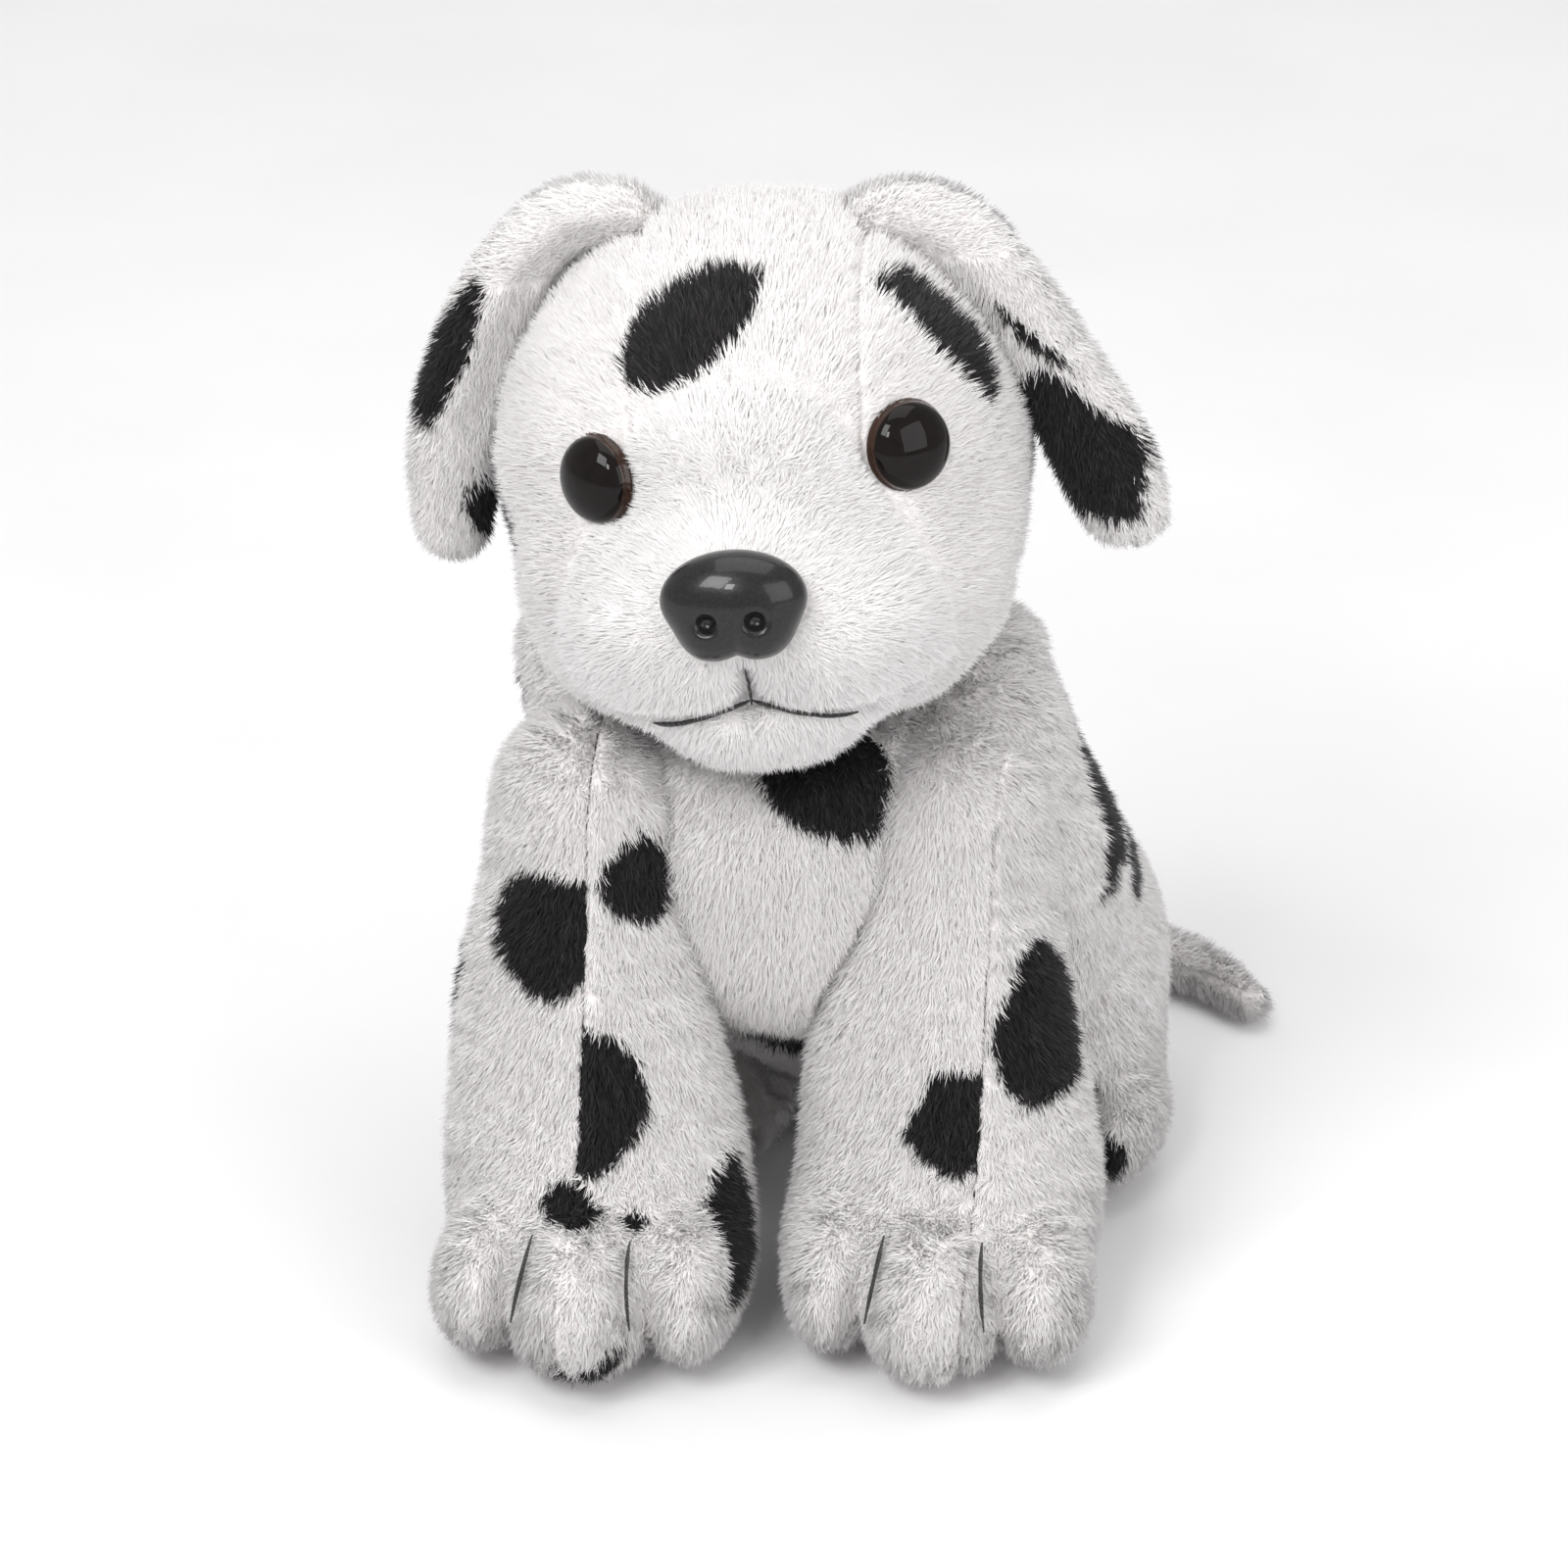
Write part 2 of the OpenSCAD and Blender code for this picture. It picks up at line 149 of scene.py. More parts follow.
def lumps(X, Y, Z, size, height, seed):
    """Gentle unevenness of a stuffed form: crossed waves about size mm long."""
    draw = np.random.default_rng(seed)
    out = 0
    for _ in range(5):
        k = draw.normal(size=3)
        k *= 2 * math.pi / (size * np.linalg.norm(k)) * draw.uniform(0.6, 1.3)
        out = out + np.sin(k[0] * X + k[1] * Y + k[2] * Z + draw.uniform(0, 2 * math.pi))
    return out * height / 2


def thread_field(X, Y, Z, points, r):
    return np.minimum.reduce([capsule(X, Y, Z, a, b, r) for a, b in zip(points[:-1], points[1:])])


# ---------------------------------------------------------------- a soft limb

class Limb:
    """A stuffed body as a distance field on a grid in its own frame, with a place in the row frame."""

    def __init__(self, body, low, high, step, shape, turn=None, at=(0, 0, 0), side=1):
        self.body, self.step, self.side = body, step, side
        self.turn = np.eye(3) if turn is None else turn
        self.at = np.array(at, float)
        self.low = np.array(low, float)
        n = np.ceil((np.array(high, float) - self.low) / step).astype(int) + 1
        axes = [(self.low[i] + step * np.arange(n[i])).astype(np.float32) for i in range(3)]
        self.X, self.Y, self.Z = axes[0][:, None, None], axes[1][None, :, None], axes[2][None, None, :]
        self.field = (shape(self.X, self.Y, self.Z) + 0 * (self.X + self.Y + self.Z)).astype(np.float32)
        self.slopes = np.gradient(self.field, step)

    def to_row(self, p):
        p = np.array(p, float) * [self.side, 1, 1]
        return p @ self.turn.T + self.at

    def to_row_dir(self, v):
        return (np.array(v, float) * [self.side, 1, 1]) @ self.turn.T

    def to_own(self, p):
        return ((np.array(p, float) - self.at) @ self.turn) * [self.side, 1, 1]

    def read(self, values, p):
        """Trilinear value of a grid at points, and FAR outside the grid."""
        g = (p - self.low) / self.step
        top = np.array(values.shape) - 1
        inside = np.all((g >= 0) & (g < top), axis=1)
        g = np.clip(g, 0, top - 1e-3)
        i = g.astype(int)
        f = g - i
        out = 0
        for dx in (0, 1):
            for dy in (0, 1):
                for dz in (0, 1):
                    w = (np.abs(1 - dx - f[:, 0]) * np.abs(1 - dy - f[:, 1]) * np.abs(1 - dz - f[:, 2]))
                    out = out + w * values[i[:, 0] + dx, i[:, 1] + dy, i[:, 2] + dz]
        return np.where(inside, out, FAR)

    def value(self, p):
        return self.read(self.field, p)

    def normal(self, p):
        n = np.stack([self.read(s, p) for s in self.slopes], axis=1)
        return n / np.maximum(np.linalg.norm(n, axis=1, keepdims=True), 1e-6)

    def front(self, x, z):
        """The foremost surface point at x, z: the first crossing on a line that runs to +Y."""
        y = np.arange(-80.0, 40, 0.1)
        p = np.stack([np.full_like(y, x), y, np.full_like(y, z)], axis=1)
        return p[np.argmax(self.value(p) < 0)]

    def shell(self, region):
        """One fabric panel as a closed mesh: points in the limb's frame and quads."""
        f = smax(self.field, -(self.field + FABRIC), 0.6)
        f = smax(f, region(self.X, self.Y, self.Z) - SEAM_LAP, SEAM_ROUND)
        return mesh_of(f.astype(np.float32), self.low, self.step)


def mesh_of(field, low, step):
    grid = openvdb.FloatGrid(background=10.0)
    grid.copyFromArray(np.ascontiguousarray(field))
    points, quads = grid.convertToQuads(isovalue=0.0)
    return low + points * step, quads


# ---------------------------------------------------------------- spots: where the print is black, and one painted shadow under a toe

NOT_PRINTED = -9.0    # a distance in mm that is well outside every spot


class Spot:
    """A black blot, printed, except one under a toe that is a painted shadow: centre, half length, half width
    and long direction, all in a limb's frame.
    """

    def __init__(self, limb, centre, half, direction, panel=None, wobble=0.12, seed=0):
        self.centre = np.array(centre, float)
        self.half, self.panel = half, panel
        draw = np.random.default_rng(100 + seed)
        n = limb.normal(self.centre[None, :])[0]
        a = np.array(direction, float)
        a = a - n * (a @ n)
        self.n, self.a = n, a / np.linalg.norm(a)
        self.b = np.cross(n, self.a)
        self.waves = [(k, wobble / k ** 0.5 * draw.uniform(0.5, 1), draw.uniform(0, 6.28)) for k in (2, 3, 5)]

    def inside(self, p):
        """Positive inside, in rough mm to the edge."""
        v = p - self.centre
        s, t = v @ self.a / self.half[0], v @ self.b / self.half[1]
        angle = np.arctan2(t, s)
        edge = 1 + sum(w * np.sin(k * angle + f) for k, w, f in self.waves)
        depth = np.abs(v @ self.n) / max(self.half)
        return np.where(depth < 1.4, (edge - np.hypot(s, t)) * min(self.half), NOT_PRINTED)


def blackness(spots, panel, p):
    """Largest distance inside any spot of this panel, in mm; negative on the white."""
    own = [s.inside(p) for s in spots if s.panel is None or s.panel == panel]
    return np.maximum.reduce(own) if own else np.full(len(p), NOT_PRINTED)


# ---------------------------------------------------------------- materials

def node_material(name, roughness=0.8, sheen=0.0, coat=0.0, specular=0.5, subsurface=0.0):
    m = bpy.data.materials.new(name)
    m.use_nodes = True
    p = m.node_tree.nodes["Principled BSDF"]
    p.inputs["Roughness"].default_value = roughness
    p.inputs["Sheen Weight"].default_value = sheen
    p.inputs["Coat Weight"].default_value = coat
    p.inputs["Coat Roughness"].default_value = 0.03
    p.inputs["Specular IOR Level"].default_value = specular
    p.inputs["Subsurface Weight"].default_value = subsurface
    return m, m.node_tree, p


def noise_ramp(tree, scale, colours, detail=4.0):
    """Colour that drifts between two or more tints with a noise over the piece's own place."""
    place = tree.nodes.new("ShaderNodeTexCoord")
    noise = tree.nodes.new("ShaderNodeTexNoise")
    noise.inputs["Scale"].default_value = scale
    noise.inputs["Detail"].default_value = detail
    ramp = tree.nodes.new("ShaderNodeValToRGB")
    for e, (at, colour) in zip(ramp.color_ramp.elements, colours):
        e.position, e.color = at, (*colour, 1)
    tree.links.new(place.outputs["Object"], noise.inputs["Vector"])
    tree.links.new(noise.outputs["Fac"], ramp.inputs["Fac"])
    return ramp.outputs["Color"], noise.outputs["Fac"]


def bumped(tree, p, height, strength, distance):
    bump = tree.nodes.new("ShaderNodeBump")
    bump.inputs["Strength"].default_value = strength
    bump.inputs["Distance"].default_value = distance
    tree.links.new(height, bump.inputs["Height"])
    tree.links.new(bump.outputs["Normal"], p.inputs["Normal"])


def base_fabric():
    """Knitted backing under the pile, white, or black by the piece's own spot attribute: printed black, and
    under one toe a painted shadow.
    """
    m, tree, p = node_material("plush_base", roughness=0.95, sheen=0.3, specular=0.2)
    white, height = noise_ramp(tree, 900, [(0.35, (0.80, 0.76, 0.75)), (0.65, (0.92, 0.89, 0.88))])
    black, _ = noise_ramp(tree, 900, [(0.35, (0.006, 0.006, 0.007)), (0.65, (0.025, 0.023, 0.024))])
    spot = tree.nodes.new("ShaderNodeAttribute")
    spot.attribute_name = "spot"
    mix = tree.nodes.new("ShaderNodeMix")
    mix.data_type = "RGBA"
    tree.links.new(spot.outputs["Fac"], mix.inputs["Factor"])
    tree.links.new(white, mix.inputs["A"])
    tree.links.new(black, mix.inputs["B"])
    tree.links.new(mix.outputs["Result"], p.inputs["Base Color"])
    bumped(tree, p, height, 0.6, 0.0006)
    return m


def fibre(name, colour, sheen):
    """One tint of the pile; its pattern is the tufts themselves."""
    m, _, p = node_material(name, roughness=0.75, sheen=sheen, specular=0.25)
    p.inputs["Base Color"].default_value = (*colour, 1)
    return m


def plastic(name, tints, roughness, coat, scale=600, grain=0.0, specular=0.5):
    m, tree, p = node_material(name, roughness=roughness, coat=coat, specular=specular)
    colour, height = noise_ramp(tree, scale, tints)
    tree.links.new(colour, p.inputs["Base Color"])
    if grain:
        bumped(tree, p, height, grain, 0.0002)
    return m


def thread_material(name, dark, light):
    m, tree, p = node_material(name, roughness=0.6, sheen=0.2)
    colour, _ = noise_ramp(tree, 3000, [(0.4, dark), (0.6, light)], detail=2)
    tree.links.new(colour, p.inputs["Base Color"])
    place = tree.nodes.new("ShaderNodeTexCoord")
    wave = tree.nodes.new("ShaderNodeTexWave")
    wave.bands_direction = "DIAGONAL"
    wave.inputs["Scale"].default_value = 900
    tree.links.new(place.outputs["Object"], wave.inputs["Vector"])
    bumped(tree, p, wave.outputs["Fac"], 0.8, 0.0002)
    return m


BASE = base_fabric()
PILE_TINTS = [
    fibre("pile_white", (0.96, 0.945, 0.94), 0.3),
    fibre("pile_warm", (0.93, 0.90, 0.89), 0.3),
    fibre("pile_shade", (0.86, 0.82, 0.81), 0.25),
    fibre("pile_black", (0.012, 0.011, 0.012), 0.12),
    fibre("pile_soot", (0.035, 0.032, 0.033), 0.2),
]
EYE_BLACK = plastic("eye_pupil", [(0.3, (0.004, 0.003, 0.003)), (0.7, (0.008, 0.005, 0.004))], 0.06, 0.3,
                    specular=0.05)
EYE_BROWN = plastic("eye_rim", [(0.3, (0.020, 0.008, 0.004)), (0.7, (0.036, 0.015, 0.008))], 0.1, 0.4,
                    specular=0.2)
NOSE_BLACK = plastic("nose_plastic", [(0.3, (0.006, 0.006, 0.006)), (0.7, (0.016, 0.015, 0.015))],
                     0.28, 0.35, 2500, 0.1, specular=0.25)
THREAD_BLACK = thread_material("thread_black", (0.006, 0.006, 0.006), (0.03, 0.03, 0.03))
THREAD_WHITE = thread_material("thread_white", (0.7, 0.68, 0.66), (0.85, 0.83, 0.81))
NYLON = plastic("washer_nylon", [(0.3, (0.7, 0.69, 0.62)), (0.7, (0.78, 0.77, 0.7))], 0.5, 0.0)
SACK = plastic("pellet_sack", [(0.3, (0.55, 0.5, 0.42)), (0.7, (0.7, 0.65, 0.56))], 0.9, 0.0, 1500, 0.5)


# ---------------------------------------------------------------- pieces

def new_piece(name, points, faces, materials, body, smooth=True):
    """A mesh piece from points in mm in the row frame."""
    mesh = bpy.data.meshes.new(name)
    flat = np.asarray(faces, dtype=np.int32)
    mesh.vertices.add(len(points))
    mesh.vertices.foreach_set("co", (np.asarray(points) * MM).astype(np.float32).ravel())
    mesh.loops.add(flat.size)
    mesh.loops.foreach_set("vertex_index", flat.ravel())
    mesh.polygons.add(len(flat))
    mesh.polygons.foreach_set("loop_start", np.arange(len(flat), dtype=np.int32) * flat.shape[1])
    mesh.update(calc_edges=True)
    mesh.polygons.foreach_set("use_smooth", np.full(len(flat), smooth))
    for m in materials:
        mesh.materials.append(m)
    obj = bpy.data.objects.new(name, mesh)
    bpy.context.scene.collection.objects.link(obj)
    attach(obj, body)
    return obj


def facing(limb, quads):
    """Quads wound so that their normals point out, also on a mirrored limb."""
    return quads if limb.side > 0 else quads[:, ::-1]


limbs = {}


def buried(limb, row_points, depth):
    """True where a point lies deeper than depth inside another limb's body."""
    deep = np.zeros(len(row_points), bool)
    for other in limbs.values():
        if other.body != limb.body:
            deep |= other.value(other.to_own(row_points)) < -depth
    return deep


def sample(points, quads, density):
    """Random points on a quad mesh, even by area, with the face normal of each."""
    a, b, c, d = (points[quads[:, i]] for i in range(4))
    tri = np.concatenate([np.stack([a, b, c], 1), np.stack([a, c, d], 1)])
    cross = np.cross(tri[:, 1] - tri[:, 0], tri[:, 2] - tri[:, 0])
    area = np.linalg.norm(cross, axis=1) / 2
    count = int(area.sum() * density)
    pick = np.searchsorted(np.cumsum(area) / area.sum(), rng.random(count))
    pick = np.minimum(pick, len(tri) - 1)
    u, v = rng.random((count, 1)), rng.random((count, 1))
    flip = u + v > 1
    u, v = np.where(flip, 1 - u, u), np.where(flip, 1 - v, v)
    t = tri[pick]
    n = cross[pick] / np.maximum(2 * area[pick, None], 1e-9)
    return t[:, 0] + u * (t[:, 1] - t[:, 0]) + v * (t[:, 2] - t[:, 0]), n


def spread(points, gap):
    """Keeps one point to a cell of a fine lattice, so that tufts don't bunch."""
    order = rng.permutation(len(points))
    cells = np.floor(points[order] / gap).astype(np.int64)
    key = (cells[:, 0] * 73856093) ^ (cells[:, 1] * 19349663) ^ (cells[:, 2] * 83492791)
    _, first = np.unique(key, return_index=True)
    return order[np.sort(first)]


def unit(v):
    return v / np.maximum(np.linalg.norm(v, axis=1, keepdims=True), 1e-6)


def ruffle(p, size, seed):
    """A smooth random direction at each point, turning over about size mm; it parts the pile in clumps."""
    draw = np.random.default_rng(seed)
    out = np.zeros_like(p)
    for _ in range(4):
        k = unit(draw.normal(size=(3, 3))) * 2 * math.pi / size * draw.uniform(0.7, 1.5)
        out += np.sin(p @ k.T + draw.uniform(0, 2 * math.pi, 3))
    return out / 2


def tuft_mesh(name, limb, p, skin, long, nap, spots, panel):
    """Tapered tufts at points p of a limb, each a closed spike that leans with the nap."""
    count = len(p)
    flow = nap(p) + 0.35 * ruffle(p, 3.2, 31) + 0.25 * ruffle(p, 1.1, 32)
    flow = flow - skin * np.einsum("ij,ij->i", flow, skin)[:, None]
    lean = rng.uniform(0.75, 1.25, (count, 1))
    way = unit(skin + lean * unit(flow) + 0.16 * rng.normal(size=(count, 3)))
    root = p - skin * 0.3
    u = unit(np.cross(way, rng.normal(size=(count, 3))))
    v = np.cross(way, u)
    wide = TUFT_WIDE * rng.uniform(0.7, 1.3, (count, 1)) * 1
    thirds = (0, 2 * math.pi / 3, 4 * math.pi / 3)
    corners = [root + (math.cos(a) * u + math.sin(a) * v) * wide for a in thirds]
    vertices = np.stack(corners + [root + way * long[:, None]], axis=1)

    black = blackness(spots, panel, p) + rng.normal(0, 0.3, count)
    clean = panel in ("muzzle_panel", "chin_panel")
    tint = rng.choice([0, 1, 2], size=count, p=[0.85, 0.15, 0] if clean else [0.5, 0.36, 0.14])
    tint = np.where(black > 0, rng.choice([3, 4], size=count, p=[0.75, 0.25]), tint)

    row = limb.to_row(vertices.reshape(-1, 3))
    row[:, 2] = np.maximum(row[:, 2], 0.05)
    faces = np.array([(0, 1, 3), (1, 2, 3), (2, 0, 3), (2, 1, 0)])
    if limb.side < 0:
        faces = faces[:, ::-1]
    loops = (np.arange(count)[:, None, None] * 4 + faces).reshape(-1)
    mesh = bpy.data.meshes.new(name)
    mesh.vertices.add(len(row))
    mesh.vertices.foreach_set("co", (row * MM).astype(np.float32).ravel())
    mesh.loops.add(len(loops))
    mesh.loops.foreach_set("vertex_index", loops.astype(np.int32))
    mesh.polygons.add(count * 4)
    mesh.polygons.foreach_set("loop_start", np.arange(count * 4, dtype=np.int32) * 3)
    mesh.polygons.foreach_set("material_index", np.repeat(tint, 4).astype(np.int32))
    mesh.update(calc_edges=True)
    mesh.polygons.foreach_set("use_smooth", np.full(count * 4, True))
    for m in PILE_TINTS:
        mesh.materials.append(m)
    side_of = unit(vertices - root[:, None, :] - (way * long[:, None])[:, None, :] / 3)
    soft = unit((skin[:, None, :] + 0.3 * side_of).reshape(-1, 3))
    mesh.normals_split_custom_set_from_vertices(limb.to_row_dir(soft))
    obj = bpy.data.objects.new(name, mesh)
    bpy.context.scene.collection.objects.link(obj)
    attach(obj, limb.body)


def pile(limb, panel, region, points, quads, nap, spots, short=None, bare=None):
    """The pile of one panel, flattened along its seams, in pieces of at most TUFTS_PER_PIECE."""
    density = TUFTS_PER_MM2 * 1
    p, n = sample(points, quads, density * 1.5)
    skin = limb.normal(p)
    row = limb.to_row(p)
    outer = (limb.value(p) > -SEAM_ROUND * 0.6) & (np.einsum("ij,ij->i", n, skin) > 0.2)
    outer &= ~((skin[:, 2] < -0.8) & (row[:, 2] < 2.0))
    outer &= ~buried(limb, row, 1.2)
    if bare is not None:
        outer &= ~bare(p)
    p, skin = p[outer], skin[outer]
    keep = spread(p, 0.8 / math.sqrt(density))
    keep = keep[np.argsort(p[keep, 2], kind="stable")]
    from_seam = -region(*p[keep].T)
    long = TUFT_LONG * rng.uniform(0.75, 1.15, len(keep)) * np.clip(0.5 + 0.3 * from_seam, 0.5, 1)
    if short is not None:
        long *= short(p[keep])
    parts = max(1, math.ceil(len(keep) / TUFTS_PER_PIECE))
    for i, part in enumerate(np.array_split(np.arange(len(keep)), parts)):
        name = f"pile_{panel}" + (f"_{i + 1}" if parts > 1 else "")
        tuft_mesh(name, limb, p[keep[part]], skin[keep[part]], long[part], nap, spots, panel)


def fabric_panel(limb, panel, region, nap, spots, nodes, short=None, bare=None):
    """One sewn panel: its base fabric, which replaces the CAD panel, and its pile."""
    points, quads = limb.shell(region)
    base = new_piece(f"fabric_{panel}", limb.to_row(points), facing(limb, quads), [BASE], limb.body)
    spot = base.data.attributes.new("spot", "FLOAT", "POINT")
    # black print, and the painted shadow under one toe, as the spot attribute
    print_and_painted_shadow = np.clip(blackness(spots, panel, points) * 3 + 0.5, 0, 1)
    spot.data.foreach_set("value", print_and_painted_shadow.astype(np.float32))
    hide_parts(*nodes)
    pile(limb, panel, region, points, quads, nap, spots, short, bare)


def ring_quads(rings, sides, closed=False):
    """Quads between neighbouring rings of points; the last ring joins the first when closed."""
    quads = []
    for i in range(rings if closed else rings - 1):
        low, high = i * sides, (i + 1) % rings * sides
        for k in range(sides):
            n = (k + 1) % sides
            quads.append((low + k, low + n, high + n, high + k))
    return np.array(quads)


def tube(limb, points, r, sides=8):
    """Rings and quads of a sewn thread through points in a limb's frame."""
    p = limb.to_row(points)
    tangent = unit(np.gradient(p, axis=0))
    up = np.array([0.3, 0.2, 1.0])
    u = unit(np.cross(tangent, up))
    v = np.cross(tangent, u)
    a = 2 * math.pi * np.arange(sides) / sides
    from_end = np.minimum(np.arange(len(p)), np.arange(len(p))[::-1])
    taper = np.clip(0.4 + 0.3 * from_end, 0.4, 1) * rng.uniform(0.8, 1.15, len(p))
    rings = p[:, None] + r * taper[:, None, None] * (np.cos(a)[None, :, None] * u[:, None]
                                                   + np.sin(a)[None, :, None] * v[:, None])
    return rings.reshape(-1, 3), ring_quads(len(p), sides)


def threads(name, parts, material, body, nodes):
    """Several thread tubes as one piece."""
    points, faces, base = [], [], 0
    for ring_points, quads in parts:
        points.append(ring_points)
        faces.append(quads + base)
        base += len(ring_points)
    obj = new_piece(name, np.concatenate(points), np.concatenate(faces), [material], body)
    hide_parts(*nodes)


# ---------------------------------------------------------------- head

HEAD_AT = joint_at("head_nod")
HEAD_TURN = turned(HEAD_TILT, HEAD_YAW)
EYE_X, EYE_SHIFT = 19.5, 1.8
EYE_Z = {1: 10.0, -1: 8.8}
SOCKET_R = 6.3        # radius of the hollow that an eye lies in
FACE_BACK = -12       # the eyes lie in front of this plane of the head
MOUTH = [(0.0, -17.8), (2.5, -18.6), (6.0, -19.6), (10.0, -20.6), (13.0, -20.9)]


def head_shape(X, Y, Z):
    x = np.abs(X)
    d = ellipsoid(X, Y, Z, (0, 0, 2.5), (35 - PILE, 33 - PILE, 33.5 - PILE))
    d = smin(d, ellipsoid(x, Y, Z, (13.5, -12, -13), (16, 16, 13.5)), 8)
    d = smin(d, ellipsoid(x, Y, Z, (8.5, -25, -12), (14, 14.5, 12.5)), 6)
    d = smin(d, ellipsoid(X, Y, Z, (0, -25, -4), (11, 16, 10)), 6)
    d = smin(d, ellipsoid(X, Y, Z, (0, -23, -22), (13, 13, 8)), 4)
    d = d + lumps(X, Y, Z, 15, 0.3, 53)
    for side in (1, -1):
        eye = (EYE_SHIFT + side * EYE_X, -33, EYE_Z[side])
        d = smax(d, -ellipsoid(X, Y, Z, eye, (SOCKET_R, SOCKET_R, SOCKET_R)), 4)
    return d


head = Limb("head", (-42, -50, -40), (42, 38, 42), 0.7, head_shape, HEAD_TURN, HEAD_AT)


def sculpt_mouth(limb):
    """Presses the mouth line into the muzzle; returns the line's points on the surface."""
    line = np.array([limb.front(x, z) for x, z in along(MOUTH, 4)])
    both = [np.column_stack([s * line[:, 0], line[:, 1], line[:, 2]]) for s in (1, -1)]
    upright = np.array([limb.front(0, z) for z in (-18.5, -16.5, -14.5, -12.5)])
    for path in both + [upright]:
        groove = thread_field(limb.X, limb.Y, limb.Z, path[::2] if len(path) > 6 else path, 0.6)
        limb.field = smax(limb.field, -groove, 3.0).astype(np.float32)
    limb.slopes = np.gradient(limb.field, limb.step)
    return both, upright


mouth_sides, mouth_upright = sculpt_mouth(head)
limbs["head"] = head

GUSSET_X, GUSSET_HALF = 1.5, 14.0
MUZZLE_Y = -25.5
CHIN_Z = -18.5


def gusset(X, Y, Z):
    """The forehead gusset, from the muzzle seam over the crown to the nape."""
    return np.maximum(np.abs(X - GUSSET_X) - GUSSET_HALF, -Z)


HEAD_PANELS = {
    "forehead_gusset": lambda X, Y, Z: np.maximum(gusset(X, Y, Z), MUZZLE_Y - Y),
    "head_panel_left": lambda X, Y, Z: np.maximum(np.maximum(MUZZLE_Y - Y, -X), -gusset(X, Y, Z)),
    "head_panel_right": lambda X, Y, Z: np.maximum(np.maximum(MUZZLE_Y - Y, X), -gusset(X, Y, Z)),
    "muzzle_panel": lambda X, Y, Z: np.maximum(Y - MUZZLE_Y, CHIN_Z - Z),
    "chin_panel": lambda X, Y, Z: np.maximum(Y - MUZZLE_Y, Z - CHIN_Z),
}


def head_nap(p):
    """Pile flows from the nose out over the face and back over the crown."""
    away = p - np.array([0, -44.0, -2.0])
    return unit(away) + np.array([0, 0.2, -0.1])


def eye_far(p):
    """Distance to the nearer eye across the face."""
    far = [np.hypot(p[:, 0] - EYE_SHIFT - side * EYE_X, p[:, 2] - EYE_Z[side]) for side in (-1, 1)]
    return np.minimum(*far) + FAR * (p[:, 1] > FACE_BACK)


def face_short(p):
    """The pile is trimmed shorter on the muzzle and round the eyes."""
    near_nose = np.linalg.norm(p - [0, -42, -4], axis=1)
    return np.clip(0.62 + 0.016 * near_nose, 0.62, 1) * np.clip(0.7 + (eye_far(p) - 4.5) * 0.05, 0.7, 1)


def face_bare(p):
    """No pile under the eyes or the nose."""
    nose = np.hypot(p[:, 0] / (NOSE_W / 2 - 1), (p[:, 2] + 3.5) / (NOSE_H / 2 - 1))
    return (eye_far(p) < EYE_R * 0.6) | ((nose < 1) & (p[:, 1] < -30))


def lathed(side, profile):
    """Rings of a turned part on an eye's axis: profile points are (height over the face, radius)."""
    face = head.front(side * EYE_X + EYE_SHIFT, EYE_Z[side])
    normal = unit(np.array([[0.60 * side, -0.79, 0.16]]))[0]
    u = unit(np.cross(normal, [[0, 0, 1.0]]))[0]
    v = np.cross(normal, u)
    a = 2 * math.pi * np.arange(EYE_SIDES) / EYE_SIDES
    round_it = np.cos(a)[:, None] * u + np.sin(a)[:, None] * v
    return np.concatenate([face + normal * h + r * round_it for h, r in profile])


def eye_parts(side):
    """Safety eye, a domed button with a dark brown rim round a black pupil, and its lock washer inside."""
    name = "left" if side > 0 else "right"
    profile = [(-0.8, 0.05), (-0.8, EYE_R * 0.9), (-0.2, EYE_R), (0.1, EYE_R * 0.985)]
    profile += [(0.3 + EYE_DOME * math.sin(a), EYE_R * 0.95 * math.cos(a))
                for a in np.radians(np.linspace(0, 89.5, 15))]
    quads = ring_quads(len(profile), EYE_SIDES)
    obj = new_piece(f"safety_eye_{name}", head.to_row(lathed(side, profile)), quads,
                    [EYE_BLACK, EYE_BROWN], "head")
    rim = np.arange(len(quads)) < 6 * EYE_SIDES
    obj.data.polygons.foreach_set("material_index", rim.astype(np.int32))
    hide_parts(f"eye_{name}")
    profile = [(-4.4, 1.6), (-4.4, WASHER_R), (-3.2, WASHER_R), (-3.2, 1.6)]
    quads = ring_quads(len(profile), EYE_SIDES, closed=True)
    obj = new_piece(f"lock_washer_{name}", head.to_row(lathed(side, profile)), quads,
                    [NYLON], "head", smooth=False)
    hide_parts(f"eye_washer_{name}")


for side in (1, -1):
    eye_parts(side)


def nose_shape(X, Y, Z):
    """Moulded nose in its own frame: Y forward is negative, with nostrils and a notch under them."""
    x = np.abs(X)
    d = ellipsoid(X, Y, Z, (0, 0, 0.8), (NOSE_W / 2, 5.2, NOSE_H / 2 - 0.7))
    d = smin(d, ellipsoid(x, Y, Z, (2.9, 0, -3.4), (4.0, 4.6, 3.5)), 2.5)
    d = smax(d, -ellipsoid(x, Y, Z, (3.1, -5.0, -1.2), (1.3, 1.6, 1.2)), 0.9)
    d = smax(d, -capsule(X, Y, Z, (0, -5.6, -3.0), (0, -4.4, -8), 0.55), 1.0)
    return np.maximum(d, Y - 2.5)


def nose_piece():
    at = head.front(0, -2.8)
    lean = np.array(Matrix.Rotation(math.radians(NOSE_LEAN), 3, "X"))
    grid = Limb("head", (-12, -8, -10), (12, 4, 10), 0.22, nose_shape)
    points, quads = mesh_of(grid.field, grid.low, grid.step)
    own = points @ lean.T + at + [0, 0.2, 0]
    obj = new_piece("moulded_nose", head.to_row(own), quads, [NOSE_BLACK], "head")
    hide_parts("nose")


nose_piece()

# ---------------------------------------------------------------- ears

